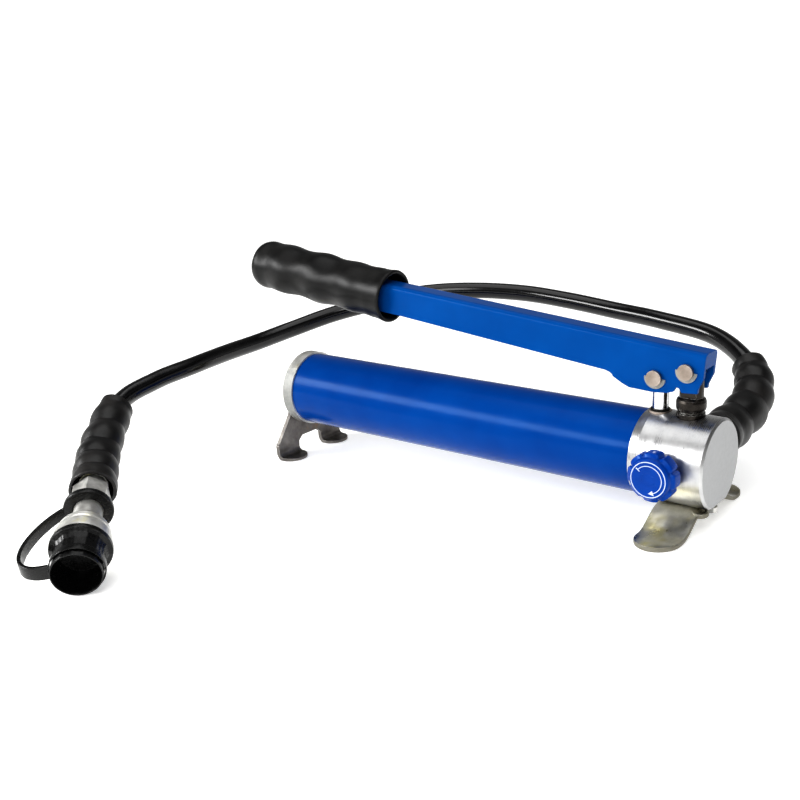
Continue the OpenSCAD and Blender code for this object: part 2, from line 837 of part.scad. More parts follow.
// ---- quick coupler ----
module coupler_body() {
    color("silver") on_coupler() difference() {
        union() {
            rod_z(12.4, hex_back, hex_front, $fn = 6);
            rod_z(neck_r, hex_front - 1, collar_back + 5);
            rod_z(nose_r, collar_back + 4, nose_front - 1);
            translate([0, 0, nose_front - 1]) cylinder(r1 = nose_r, r2 = nose_r - 1, h = 1);
        }
        rod_z(2.5, hex_back - 1, -60);
        rod_z(6.5, -62, -26);
        rod_z(4.06, -27, nose_front + 1);
        cut_ring(neck_r - 0.7, neck_r + 2, collar_back - 2, collar_back - 0.9);
        cut_ring(waist_r, neck_r + 2, hex_front, collar_back - 3);
    }
}
module coupler_collar() {
    thread_r = 13.4;
    color("gainsboro") on_coupler() rotate_extrude() polygon([
        [neck_r + 0.08, collar_back],
        [13, collar_back],
        [13.6, collar_back + 1.5],
        [14.8, collar_back + 3],
        [14.8, collar_back + 4.6],
        [16.2, collar_back + 6],
        [16.2, collar_back + 7.8],
        [15.6, collar_back + 8.4],
        [15.6, collar_back + 9.4],
        [17, collar_back + 10.8],
        [17.6, collar_back + 12.5],
        [17.6, collar_front - 1],
        [16.8, collar_front],
        [thread_r, collar_front],
        [thread_r, collar_back + 3.8],
        [neck_r + 0.08, collar_back + 3.8]
    ]);
}
module collar_ring() {
    color("gray") on_coupler()
        cut_ring(neck_r - 0.68, neck_r + 1.2, collar_back - 1.9, collar_back - 1.0);
}
module coupler_poppet() {
    color("gainsboro") on_coupler() union() {
        rod_z(4, -30.5, nose_front - 0.5);
        translate([0, 0, -30.5]) cylinder(r1 = 6, r2 = 4, h = 3);
        rod_z(6.1, -36, -30.5);
        rod_z(2, -44, -35.5);
    }
}
module poppet_spring() {
    color("silver") on_coupler() translate([0, 0, -60]) coil_spring(4.6, 0.6, 23.9, 6);
}
// centre line of the dust cap's strap, as distance from the axis and height along it
function strap_line(t) =
    let (
        a = [15, -64.5],
        b = [35, -46],
        c = [47, -1],
        d = [cap_r + 0.4, -6.4],
        q = 1 - t
    )
    q ^ 3 * a + 3 * q ^ 2 * t * b + 3 * q * t ^ 2 * c + t ^ 3 * d;
module cap_strap() {
    strap_w = 8;
    color("black") on_coupler() difference() {
        union() {
            rod_z(15.6, -66.5, -62.5);
            rod_z(cap_r + 1.1, -9, -4);
            translate([-strap_w / 2, 0, 0]) rotate([90, 0, 90]) mirror([1, 0, 0])
                linear_extrude(strap_w) strap_outline(24, 2.6);
        }
        rod_z(waist_r + 0.15, -68, -60);
        rod_z(cap_r + 0.35, -12, 0);
    }
}
module strap_outline(steps, thickness) {
    function normal(t) =
        let (d = unit(strap_line(min(t + 0.01, 1)) - strap_line(max(t - 0.01, 0))))
        [-d[1], d[0]];
    polygon(concat(
        [for (k = [0:steps]) strap_line(k / steps) + thickness / 2 * normal(k / steps)],
        [
            for (k = [steps:-1:0])
                strap_line(k / steps) - thickness / 2 * normal(k / steps)
        ]
    ));
}
module dust_cap() {
    flange_r = 19;
    ribs = 14;
    color("black") on_coupler() difference() {
        union() {
            rod_z(cap_r, -19, 0);
            rod_z(flange_r, collar_front + 0.5, -22.5);
            translate([0, 0, -22.5])
                cylinder(r1 = flange_r - 0.8, r2 = cap_r - 0.1, h = 4.5);
            rod_z(12.8, -40, collar_front + 1);
        }
        rod_z(cap_r - 2.6, -13, 1);
        rod_z(nose_r + 0.5, -42, -20);
        for (k = [0:ribs - 1]) rotate([0, 0, 360 * k / ribs])
            rod_z(1, -22.4, -12, cap_r + 2);
    }
}

pump_head();
reservoir_tube();
rear_cap();
tank_seals();
tie_rod();
tie_rod_nut();
filler_plug();
suction_strainer();
suction_ball();
discharge_ball();
discharge_spring();
discharge_plug();
relief_ball();
relief_spring();
relief_screw();
front_foot();
foot_screws();
rear_bracket();
fulcrum_post();
plunger_gland();
rod_wiper();
plunger_seal();
pump_plunger();
lever_channel();
lever_grip();
fulcrum_pin();
plunger_pin();
pin_clips();
release_gland();
release_spindle();
release_ball();
release_knob();
knob_dial();
outlet_adapter();
pump_ferrule();
pump_sleeve();
hose();
coupler_sleeve();
coupler_ferrule();
coupler_body();
coupler_collar();
collar_ring();
coupler_poppet();
poppet_spring();
cap_strap();
dust_cap();
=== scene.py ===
# Looks of the hydraulic hand pump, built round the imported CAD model. All in metres.
import bisect
import json
import math

import bmesh
import bpy
from mathutils import Matrix, Vector, noise


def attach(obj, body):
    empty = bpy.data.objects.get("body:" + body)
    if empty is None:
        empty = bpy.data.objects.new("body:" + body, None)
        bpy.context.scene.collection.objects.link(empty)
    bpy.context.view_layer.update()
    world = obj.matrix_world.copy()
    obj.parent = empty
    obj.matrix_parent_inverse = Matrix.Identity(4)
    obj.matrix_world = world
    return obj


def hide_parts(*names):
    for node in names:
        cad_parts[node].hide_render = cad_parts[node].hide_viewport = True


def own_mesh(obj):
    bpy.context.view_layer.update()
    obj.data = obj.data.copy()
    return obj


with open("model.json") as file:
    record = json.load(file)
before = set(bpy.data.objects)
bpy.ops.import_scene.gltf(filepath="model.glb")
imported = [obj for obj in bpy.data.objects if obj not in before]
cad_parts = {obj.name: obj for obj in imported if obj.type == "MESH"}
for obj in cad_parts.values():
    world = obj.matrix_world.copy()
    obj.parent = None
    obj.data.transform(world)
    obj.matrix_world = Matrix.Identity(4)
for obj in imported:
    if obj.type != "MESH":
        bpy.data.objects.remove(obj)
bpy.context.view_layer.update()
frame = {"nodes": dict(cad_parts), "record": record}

MM = 0.001
TAU = math.tau
UP = Vector((0, 0, 1))


def turn(axis, degrees):
    """The rotation about an axis."""
    return Matrix.Rotation(math.radians(degrees), 4, axis)


# The frames that part.scad works in. The pump's x axis leaves the head's front face, the lever's
# runs from the fulcrum pin to the grip, and the coupler's z axis runs to its mouth.
FRONT_DROP, REAR_DROP, FEET_APART = 38.8, 51.7, 320
TILT = math.degrees(math.atan2(REAR_DROP - FRONT_DROP, FEET_APART))
LEVER_REST = 5
CAP_PITCH = 15
CAP_YAW = -45
CAP_RADIUS = 0.0155
HEAD_FACE = (0.1872, 0, 0.037943)
FULCRUM = (-0.0201, 0, 0.0577)
PUMP = Matrix.Translation(HEAD_FACE) @ turn("Y", TILT)
LEVER = PUMP @ Matrix.Translation(FULCRUM) @ turn("Y", LEVER_REST) @ turn("Z", 180)
COUPLER = (
    Matrix.Translation((-0.0901, -0.2686, CAP_RADIUS * math.cos(math.radians(CAP_PITCH))))
    @ turn("Z", CAP_YAW)
    @ turn("Y", 90 + CAP_PITCH)
)


def at(place, x, y, z):
    """The row-frame point of a place's own x, y, z, which are in millimetres."""
    return place @ (Vector((x, y, z)) * MM)


# ---- camera ----
def heading(azimuth, elevation):
    """The unit vector from the pump towards an azimuth and elevation in radians."""
    flat = math.cos(elevation)
    return Vector((math.sin(azimuth) * flat, -math.cos(azimuth) * flat, math.sin(elevation)))


def add_camera():
    """The photo's camera, as fitted to the pump's outline."""
    azimuth, elevation, roll = (math.radians(v) for v in (38.83, 16.38, -4.57))
    back = heading(azimuth, elevation)
    level = Vector((math.cos(azimuth), math.sin(azimuth), 0))
    right = level * math.cos(roll) + back.cross(level) * math.sin(roll)
    data = bpy.data.cameras.new("camera")
    data.sensor_width = 36
    data.lens = 48.56
    data.shift_x, data.shift_y = -0.02, 0.0112
    data.clip_start = 0.05
    camera = bpy.data.objects.new("camera", data)
    camera.matrix_world = Matrix.LocRotScale(
        Vector((0.4299, -0.5899, 0.2680)),
        Matrix((right, back.cross(right), back)).transposed().to_quaternion(),
        None,
    )
    bpy.context.scene.collection.objects.link(camera)
    bpy.context.scene.camera = camera


add_camera()

# ---- route of the hose ----
# These are the same points as in part.scad, in the row frame, from the pump to the coupler.
HOSE_R = 6.75 * MM
HOSE_START = at(PUMP, -18, 36, 4)
HOSE_END = at(COUPLER, 0, 0, -84)
COUPLER_AXIS = COUPLER.to_3x3() @ UP
ROUTE = [
    HOSE_START,
    HOSE_START + Vector((0, 0.014, 0)),
    HOSE_START + Vector((0, 0.028, 0.0005)),
    Vector((0.1705, 0.088, 0.048)),
    Vector((0.1655, 0.1105, 0.0575)),
    Vector((0.1505, 0.1295, 0.0695)),
    Vector((0.118, 0.151, 0.0795)),
    Vector((0.070, 0.1635, 0.085)),
    Vector((0.029, 0.172, 0.088)),
    Vector((-0.014, 0.175, 0.093)),
    Vector((-0.056, 0.171, 0.098)),
    Vector((-0.098, 0.157, 0.101)),
    Vector((-0.134, 0.136, 0.101)),
    Vector((-0.166, 0.110, 0.096)),
    Vector((-0.193, 0.082, 0.090)),
    Vector((-0.211, 0.050, 0.083)),
    Vector((-0.218, 0.014, 0.079)),
    Vector((-0.218, -0.023, 0.078)),
    Vector((-0.215, -0.060, 0.077)),
    Vector((-0.215, -0.098, 0.0745)),
    Vector((-0.2085, -0.137, 0.068)),
    HOSE_END - 0.044 * COUPLER_AXIS,
    HOSE_END - 0.022 * COUPLER_AXIS,
    HOSE_END,
]
SPANS = len(ROUTE) - 1
SAMPLES_PER_SPAN = 60


def route_point(s):
    """A point on the route; s counts the spans between its points, as in part.scad."""

    def knot(i):
        return ROUTE[min(max(i, 0), SPANS)]

    def slope(i):
        return (knot(i + 1) - knot(i - 1)) / (1 if i in (0, SPANS) else 2)

    i = min(int(s), SPANS - 1)
    t = s - i
    return (
        (2 * t**3 - 3 * t**2 + 1) * knot(i)
        + (t**3 - 2 * t**2 + t) * slope(i)
        + (3 * t**2 - 2 * t**3) * knot(i + 1)
        + (t**3 - t**2) * slope(i + 1)
    )


# The centre line's samples, and how far along the hose each of them is.
line = [route_point(k / SAMPLES_PER_SPAN) for k in range(SPANS * SAMPLES_PER_SPAN + 1)]
reach = [0.0]
for a, b in zip(line, line[1:]):
    reach.append(reach[-1] + (b - a).length)


def on_hose(distance):
    """The point and the direction of the hose's centre line, a distance from the pump."""
    k = min(max(bisect.bisect_right(reach, distance) - 1, 0), len(line) - 2)
    t = (distance - reach[k]) / (reach[k + 1] - reach[k])
    # The direction is taken over nine samples, which keeps the rings from kinking at a knot.
    ahead, behind = line[min(k + 5, len(line) - 1)], line[max(k - 4, 0)]
    return line[k].lerp(line[k + 1], t), (ahead - behind).normalized()


# ---- mesh building ----
AXIS_RADIUS = 0.01  # mm, where a closed outline meets its axis


def ring(centre, side, up, radius, sides):
    """Points round a centre; radius is a number or a function of the angle."""
    size = radius if callable(radius) else lambda angle: radius
    return [
        centre + size(a) * (math.cos(a) * side + math.sin(a) * up)
        for a in (TAU * k / sides for k in range(sides))
    ]


def hose_ring(distance, radius, sides):
    """Points round the hose's centre line, a distance from the pump."""
    centre, along = on_hose(distance)
    side = along.cross(UP).normalized()
    return ring(centre, side, side.cross(along), radius, sides)


def fillet(corners, closed=False, steps=4):
    """An outline with each corner (x, y, r) rounded by r; a corner (x, y) stays sharp."""
    out = []
    count = len(corners)
    for i, corner in enumerate(corners):
        here = Vector(corner[:2])
        if len(corner) < 3 or (not closed and i in (0, count - 1)):
            out.append(here)
            continue
        before = Vector(corners[i - 1][:2]) - here
        after = Vector(corners[(i + 1) % count][:2]) - here
        half = before.angle(after) / 2
        cut = min(corner[2] / math.tan(half), before.length * 0.49, after.length * 0.49)
        a, b = here + before.normalized() * cut, here + after.normalized() * cut
        for k in range(steps + 1):
            t = k / steps
            out.append(a * (1 - t) ** 2 + here * 2 * t * (1 - t) + b * t**2)
    return out


def add_piece(name, made, body, slot, nodes, crease=32):
    """Turns a bmesh into a piece that rides on a body and stands for CAD nodes.

    crease is the angle, in degrees, above which an edge is sharp."""
    bmesh.ops.recalc_face_normals(made, faces=made.faces)
    mesh = bpy.data.meshes.new(name)
    made.to_mesh(mesh)
    made.free()
    mesh.shade_smooth()
    mesh.set_sharp_from_angle(angle=math.radians(crease))
    piece = bpy.data.objects.new(name, mesh)
    bpy.context.scene.collection.objects.link(piece)
    mesh.materials.append(FINISHES[slot])
    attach(piece, body)
    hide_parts(*nodes)
    return piece


def skin(made, rings, wrap=False, ends=True):
    """Adds quads between rings of points, with a UV map in millimetres."""
    uv = made.loops.layers.uv.verify()
    sides = len(rings[0])
    rows = [[made.verts.new(p) for p in points] for points in rings]
    middles = [sum(points, Vector()) / sides for points in rings]
    along = [0.0]
    for j in range(1, len(rings)):
        step = max(
            (middles[j] - middles[j - 1]).length,
            (rings[j][0] - rings[j - 1][0]).length,
        )
        along.append(along[-1] + step / MM)
    girth = TAU * (rings[len(rings) // 2][0] - middles[len(rings) // 2]).length / MM
    for j in range(len(rings) if wrap else len(rings) - 1):
        m = (j + 1) % len(rings)
        for k in range(sides):
            q = (k + 1) % sides
            corners = (rows[j][k], rows[j][q], rows[m][q], rows[m][k])
            if len(set(v.co.to_tuple(7) for v in corners)) < 3:
                continue
            face = made.faces.new(corners)
            marks = ((k, j), (k + 1, j), (k + 1, j + 1), (k, j + 1))
            for loop, (u, v) in zip(face.loops, marks):
                loop[uv].uv = (girth * u / sides, along[min(v, len(rings) - 1)])
    if ends and not wrap:
        for row in (rows[0], rows[-1]):
            if (row[0].co - row[sides // 2].co).length > 1e-6:
                made.faces.new(row)
    bmesh.ops.remove_doubles(made, verts=made.verts, dist=1e-7)


def lathe(made, place, outline, sides=96, shape=None, wrap=True):
    """Turns an outline of (radius, height) in mm round a place's z axis.

    shape(radius, height, angle) gives the radius at an angle, and wrap closes the outline."""

    def point(r, z, angle):
        if shape:
            r = shape(r, z, angle)
        return at(place, r * math.cos(angle), r * math.sin(angle), z)

    angles = [TAU * k / sides for k in range(sides)]
    rings = [[point(r, z, a) for a in angles] for r, z in outline]
    skin(made, rings, wrap=wrap, ends=not wrap)


def strip(made, stations, corner=0.7):
    """Sweeps a plate section with rounded edges.

    A station is (centre, across, normal, half width, thickness), lengths in mm."""
    rings = []
    for centre, across, normal, half, thick in stations:
        x, y = half, thick / 2
        r = min(corner, x * 0.9, y * 0.9)
        corners = [(x, y, r), (-x, y, r), (-x, -y, r), (x, -y, r)]
        section = fillet(corners, closed=True, steps=3)
        rings.append([centre + (across * p.x + normal * p.y) * MM for p in section])
    skin(made, rings)


# ---- finishes ----
EVEN = (1, 1, 1)
WHITE = (1, 1, 1, 1)
BLUE_SHINE = (0.3, 0.6, 1.0, 1.0)


class Finish:
    """A procedural material: a Principled shader and the nodes that vary it."""

    def __init__(self, slot, metallic=0.0, roughness=0.5, **fixed):
        self.material = bpy.data.materials.new("finish_" + slot)
        self.material.use_nodes = True
        self.tree = self.material.node_tree
        self.shader = self.tree.nodes["Principled BSDF"]
        self.set("Metallic", metallic)
        self.set("Roughness", roughness)
        for name, value in fixed.items():
            self.set(name.replace("_", " ").title().replace("Ior", "IOR"), value)

    def set(self, name, value):
        """Sets one of the shader's own inputs."""
        self.feed(self.shader.inputs[name], value)

    def feed(self, socket, value):
        """Links a node's output to a socket, or sets the socket to a plain value."""
        if isinstance(value, bpy.types.NodeSocket):
            self.tree.links.new(value, socket)
        else:
            socket.default_value = value

    def add(self, kind, inputs=(), **settings):
        """A new shader node, with its inputs fed and its settings made."""
        node = self.tree.nodes.new("ShaderNode" + kind)
        for name, value in settings.items():
            setattr(node, name, value)
        for name, value in dict(inputs).items():
            self.feed(node.inputs[name], value)
        return node

    def where(self, stretch, uv=False):
        """The object's own coordinates or its UV map, stretched along each axis."""
        source = self.add("TexCoord").outputs["UV" if uv else "Object"]
        return self.add("Mapping", {"Vector": source, "Scale": stretch}).outputs[0]

    def noise(self, scale, detail=3.0, stretch=EVEN, uv=False, rough=0.55):
        inputs = {
            "Vector": self.where(stretch, uv),
            "Scale": scale,
            "Detail": detail,
            "Roughness": rough,
        }
        return self.add("TexNoise", inputs).outputs["Fac"]

    def range(self, value, low, high, start=0.3, end=0.7):
        """low where the value is start, high where it is end, and even between them."""
        inputs = {
            "Value": value,
            "From Min": start,
            "From Max": end,
            "To Min": low,
            "To Max": high,
        }
        return self.add("MapRange", inputs).outputs["Result"]

    def pair(self, kind, operation, a, b):
        """The node that puts two values together with an operation."""
        node = self.add(kind, operation=operation)
        self.feed(node.inputs[0], a)
        self.feed(node.inputs[1], b)
        return node

    def math(self, operation, a, b):
        return self.pair("Math", operation, a, b).outputs[0]

    def dot(self, a, b):
        return self.pair("VectorMath", "DOT_PRODUCT", a, b).outputs["Value"]

    def mix(self, share, low, high):
        node = self.add("Mix", data_type="RGBA")
        self.feed(node.inputs[0], share)
        self.feed(node.inputs[6], low)
        self.feed(node.inputs[7], high)
        return node.outputs[2]

    def facing(self, way, start, end):
        """1 where the surface faces a direction, and 0 where it turns away from it."""
        flat = self.add("NewGeometry").outputs["Normal"]
        return self.range(self.dot(flat, way), 0, 1, start, end)

    def rounded(self, width):
        """The normal of a surface whose edges are rounded by some mm."""
        return self.add("Bevel", {"Radius": width * MM}, samples=4).outputs[0]

    def edges(self, width):
        """1 near the object's edges, where its rounded normal turns away, and 0 elsewhere."""
        flat = self.add("NewGeometry").outputs["Normal"]
        return self.range(self.dot(self.rounded(width), flat), 1, 0, 0.75, 0.985)

    def relief(self, layers, soften=0.0):
        """Bumps of (height, depth in mm) on each other, on edges softened by some mm."""
        normal = self.rounded(soften) if soften else None
        for height, depth in layers:
            inputs = {"Height": height, "Strength": 1.0, "Distance": depth * MM}
            if normal:
                inputs["Normal"] = normal
            normal = self.add("Bump", inputs).outputs["Normal"]
        self.set("Normal", normal)


def rgb(r, g, b):
    """A linear colour from sRGB numbers of 0 to 255."""

    def linear(c):
        c /= 255
        return c / 12.92 if c <= 0.04045 else ((c + 0.055) / 1.055) ** 2.4

    return (linear(r), linear(g), linear(b), 1.0)


def painted(slot, color, deep, chips, shine):
    """Gloss stove enamel: slight orange peel, uneven depth, chipped at a few edges.

    The higher chips is, the fewer there are."""
    f = Finish(slot, specular_ior_level=shine, specular_tint=BLUE_SHINE)
    tone = f.mix(f.range(f.noise(22, 3), 0, 1), color, deep)
    specks = f.range(f.noise(1400, 2), 0, 0.2, 0.70, 0.78)
    tone = f.mix(specks, tone, rgb(40, 92, 170))
    bare = f.range(f.noise(150, 5), 0, 1, chips, chips + 0.06)
    worn = f.math("MULTIPLY", f.edges(0.5), bare)
    f.set("Base Color", f.mix(worn, tone, rgb(120, 128, 140)))
    f.set("Metallic", f.range(worn, 0, 0.7, 0, 1))
    f.set("Roughness", f.range(f.noise(60, 4), 0.15, 0.26))
    f.relief([(f.noise(520, 2), 0.03), (f.noise(90, 3), 0.05)], soften=0.45)
    return f.material


def metal(
    slot, light, dark, smooth, rough, stretch=EVEN, tint=None, grain=260, pits=0.0,
    face=None, rim=rgb(236, 236, 232), metallic=1.0,
):
    """Machined or plated metal: cloudy tone, tool marks along a direction, bright edges.

    tint is the patches' (colour, threshold, scale), and face is the (direction, start, full,
    colour) of a side that is duller and has another tone."""
    dull = 0.62
    f = Finish(slot, metallic=metallic)
    clouds = f.noise(55, 5, rough=0.6)
    tone = f.mix(f.range(clouds, 0, 1, 0.35, 0.65), dark, light)
    if tint:
        color, start, scale = tint
        tone = f.mix(f.range(f.noise(scale, 3), 0, 0.8, start, start + 0.18), tone, color)
    marks = f.noise(grain, 3, stretch)
    tone = f.mix(f.range(marks, 0, 0.22), tone, dark)
    tone = f.mix(f.math("MULTIPLY", f.edges(0.35), 0.55), tone, rim)
    shine = f.range(f.math("ADD", marks, clouds), smooth, rough, 0.8, 1.25)
    # The face tone is the head's duller machined front face, and on the zinc and yellow zinc it is
    # painted shade on the sides that face a given direction.
    if face:
        way, start, full, color = face
        end = f.facing(way, start, full)
        face_tone_and_shade = f.mix(f.range(f.noise(380, 5, rough=0.7), 0, 0.5), color, dark)
        tone = f.mix(end, tone, face_tone_and_shade)
        shine = f.range(end, shine, dull, 0, 1)
    f.set("Base Color", tone)
    f.set("Roughness", shine)
    layers = [(marks, 0.012), (f.noise(800, 2), 0.006)]
    if pits:
        layers.append((f.range(f.noise(420, 4), 0, 1, 0.35, 0.6), pits))
    f.relief(layers, soften=0.3)
    return f.material


def rubber(
    slot, color, dusty, smooth, rough, grain, depth, uv=False, stretch=EVEN, shine=0.14
):
    """Moulded rubber: fine grain, scuffed and dusty in patches."""
    f = Finish(slot, specular_ior_level=shine)
    patches = f.noise(42, 5, rough=0.65)
    tone = f.mix(f.range(patches, 0, 1, 0.42, 0.72), color, dusty)
    specks = f.range(f.noise(1700, 2), 0, 0.3, 0.69, 0.76)
    f.set("Base Color", f.mix(specks, tone, rgb(64, 61, 56)))
    f.set("Roughness", f.range(patches, smooth, rough, 0.35, 0.7))
    pattern = f.noise(grain, 3, stretch, uv)
    f.relief([(pattern, depth), (f.noise(1300, 2), 0.02)])
    return f.material


def plastic(slot, color, deep, smooth, rough, shine=0.3, glint=WHITE):
    """Glossy moulded plastic with faint flow marks and handling scuffs."""
    f = Finish(slot, specular_ior_level=shine, specular_tint=glint)
    f.set("Base Color", f.mix(f.range(f.noise(48, 3), 0, 1), color, deep))
    scuffs = f.noise(300, 5, (1, 1, 3), rough=0.7)
    f.set("Roughness", f.range(scuffs, smooth, rough, 0.4, 0.7))
    f.relief([(f.noise(700, 2), 0.012), (f.noise(120, 3), 0.05)], soften=0.3)
    return f.material


TURNED = (8, 0.12, 0.12)
DRAWN = (1, 0.25, 1)
ALONG_HOSE = (0.4, 3.2, 1)
FORWARD, LEFT_SIDE = (1, 0, 0), (0, -1, 0)
FINISHES = {
    "blue_paint": painted(
        "blue_paint", rgb(0, 61, 134), rgb(0, 52, 122), chips=0.66, shine=0.1
    ),
    "lever_paint": painted(
        "lever_paint", rgb(0, 70, 140), rgb(0, 62, 128), chips=0.62, shine=0.07
    ),
    "head_steel": metal(
        "head_steel", rgb(214, 214, 213), rgb(176, 176, 177), smooth=0.26, rough=0.4,
        stretch=TURNED, grain=420, face=(FORWARD, 0.9, 0.98, rgb(190, 191, 192)),
    ),
    # Painted shade: the zinc's surfaces that face -y get a darker, duller tone.
    "zinc": metal(
        "zinc", rgb(240, 239, 234), rgb(176, 175, 170), smooth=0.28, rough=0.5,
        tint=(rgb(222, 210, 84), 0.57, 60), pits=0.04, metallic=0.78,
        face=(LEFT_SIDE, 0.6, 0.78, rgb(138, 139, 137)),
    ),
    # Painted shade: the yellow zinc's sides and undersides, which don't face up, get a darker,
    # duller tone.
    "yellow_zinc": metal(
        "yellow_zinc", rgb(196, 194, 182), rgb(146, 144, 134), smooth=0.26, rough=0.42,
        stretch=DRAWN, tint=(rgb(160, 148, 56), 0.48, 34), rim=rgb(168, 166, 156),
        face=(UP, 0.6, 0.3, rgb(128, 125, 112)),
    ),
    "dark_steel": metal(
        "dark_steel", rgb(134, 130, 126), rgb(88, 84, 82), smooth=0.34, rough=0.56,
        tint=(rgb(140, 104, 66), 0.6, 50), pits=0.05,
    ),
    "black_oxide": metal(
        "black_oxide", rgb(66, 62, 58), rgb(30, 28, 27), smooth=0.2, rough=0.4
    ),
    "chrome_rod": metal(
        "chrome_rod", rgb(226, 226, 228), rgb(206, 206, 208), smooth=0.06, rough=0.14
    ),
    "steel": metal(
        "steel", rgb(184, 172, 162), rgb(132, 120, 110), smooth=0.38, rough=0.54,
        rim=rgb(214, 206, 198),
    ),
    "brass": metal("brass", rgb(206, 172, 96), rgb(160, 126, 60), smooth=0.2, rough=0.4),
    "seal_rubber": rubber(
        "seal_rubber", rgb(12, 12, 12), rgb(26, 25, 24), smooth=0.42, rough=0.6,
        grain=300, depth=0.04,
    ),
    "seal_plastic": plastic(
        "seal_plastic", rgb(206, 160, 70), rgb(178, 130, 50), smooth=0.3, rough=0.5
    ),
    "grip_rubber": rubber(
        "grip_rubber", rgb(6, 6, 6), rgb(20, 19, 18), smooth=0.34, rough=0.5,
        grain=210, depth=0.07, shine=0.22,
    ),
    "hose_black": rubber(
        "hose_black", rgb(6, 6, 7), rgb(14, 14, 14), smooth=0.1, rough=0.22,
        grain=0.35, depth=0.04, uv=True, stretch=ALONG_HOSE, shine=0.5,
    ),
    "sleeve_rubber": rubber(
        "sleeve_rubber", rgb(9, 9, 9), rgb(28, 25, 23), smooth=0.34, rough=0.52,
        grain=240, depth=0.1, shine=0.4,
    ),
    "knob_blue": plastic(
        "knob_blue", rgb(0, 60, 150), rgb(0, 46, 126), smooth=0.16, rough=0.3,
        shine=0.28, glint=BLUE_SHINE,
    ),
    "knob_white": plastic(
        "knob_white", rgb(214, 224, 244), rgb(190, 202, 228), smooth=0.35, rough=0.5
    ),
    "cap_black": plastic(
        "cap_black", rgb(7, 7, 7), rgb(4, 4, 4), smooth=0.24, rough=0.4, shine=0.34
    ),
}

# Each CAD node gets its record's finish. The two lever pins' ends are worn bare, so they get steel.
BARE_PINS = ("fulcrum_pin", "plunger_pin")
SLOT_OF = {part["node"]: part["material_slot"] for part in frame["record"]["subparts"]}
for node, cad in frame["nodes"].items():
    for place in cad.material_slots:
        place.material = FINISHES["steel" if node in BARE_PINS else SLOT_OF[node]]


# ---- hose and its rubber sleeves ----
def make_hose():
    """The hose, and the distances from the pump at which its mesh has rings."""
    made = bmesh.new()
    count = 420
    stops = [reach[-1] * k / count for k in range(count + 1)]
    skin(made, [hose_ring(d, HOSE_R, 36) for d in stops])
    return add_piece("hose_line", made, "pump", "hose_black", ["hose"]), stops


def make_sleeve(name, wide_end, thin_end, node, seed):
    """A tapered rubber sleeve with soft ribs, open and hollow at its wide end.

    seed sets where its unevenness lies. Shares count from the wide end to the thin end."""
    made = bmesh.new()
    sides, steps, ribs, rib_depth, lumps = 72, 150, 6, 1.5, 0.7

    def outer(share):
        def radius(angle):
            lean = 0.02 * math.sin(angle + seed) + 0.012 * math.sin(2 * angle + 2 * seed)
            t = min(max(share + lean * math.sin(math.pi * share), 0), 1)
            base = 15.1 - 0.9 * t - 2.3 * t**4
            uneven = 0.035 * math.sin(5 * t + 3 * seed)
            fold = abs(math.sin(math.pi * ribs * (0.05 + 0.86 * t + uneven)))
            spot = Vector((seed * 9 + t * 6, 1.2 * math.cos(angle), 1.2 * math.sin(angle)))
            rib = rib_depth * (fold**1.1 - 1) * min(1, 8 * t, 9 * (1 - t))
            return (base + rib + lumps * noise.noise(spot)) * MM

        return radius

    def loop(share, radius):
        return hose_ring(wide_end + (thin_end - wide_end) * share, radius, sides)

    wide_lip = [(0, 13.2), (0, 14.3)]
    thin_lip = [(0.999, 10.6), (1, 9.6), (1, 7.6), (0.985, HOSE_R / MM + 0.2)]
    bore = [(0.34, 7.2), (0.30, 10), (0.25, 11.6), (0.1, 12.3), (0.02, 12.7)]
    rings = [loop(share, r * MM) for share, r in wide_lip]
    rings += [loop(0.006 + 0.988 * k / steps, outer(k / steps)) for k in range(steps + 1)]
    rings += [loop(share, r * MM) for share, r in thin_lip + bore]
    skin(made, rings, wrap=True)
    return add_piece(name, made, "pump", "sleeve_rubber", [node], crease=50)


hose, stops = make_hose()
SLEEVE_LENGTH = 96 * MM
SLEEVE_GAP = 1.5 * MM
far_mouth = reach[-1] - SLEEVE_GAP
sleeve_near = make_sleeve(
    "sleeve_pump", SLEEVE_GAP, SLEEVE_GAP + SLEEVE_LENGTH, "pump_sleeve", 0.4
)
sleeve_far = make_sleeve(
    "sleeve_coupler", far_mouth, far_mouth - SLEEVE_LENGTH, "coupler_sleeve", 1.9
)


# ---- dust cap and its strap ----
def make_cap():
    """The cap: a hollow front cup, a fluted flange and the stem in the coupler's nose."""
    made = bmesh.new()
    count, depth = 14, 0.5

    def flutes(r, z, angle):
        if r < 14.8 or not -22 < z < -7:
            return r
        return r - depth + depth * max(0.0, math.cos(count * angle)) ** 2

    outline = fillet(
        [
            (AXIS_RADIUS, -19.3), (12.2, -19.3), (13.2, -9, 2), (14.1, -1.4, 0.6),
            (14.6, 0, 0.4), (15.3, 0, 0.5), (15.5, -7.4), (15.5, -17.4, 1),
            (16.6, -20.6, 0.8), (18.8, -22, 0.6), (19, -25.4, 0.7), (12.8, -25.5, 0.3),
            (12.8, -39.9, 0.6), (10.1, -39.9, 0.4), (10.1, -20.8, 0.3), (AXIS_RADIUS, -20.8),
        ]
    )
    lathe(made, COUPLER, outline, 112, flutes)
    return add_piece("cap_shell", made, "dust_cap", "cap_black", ["dust_cap"], crease=40)


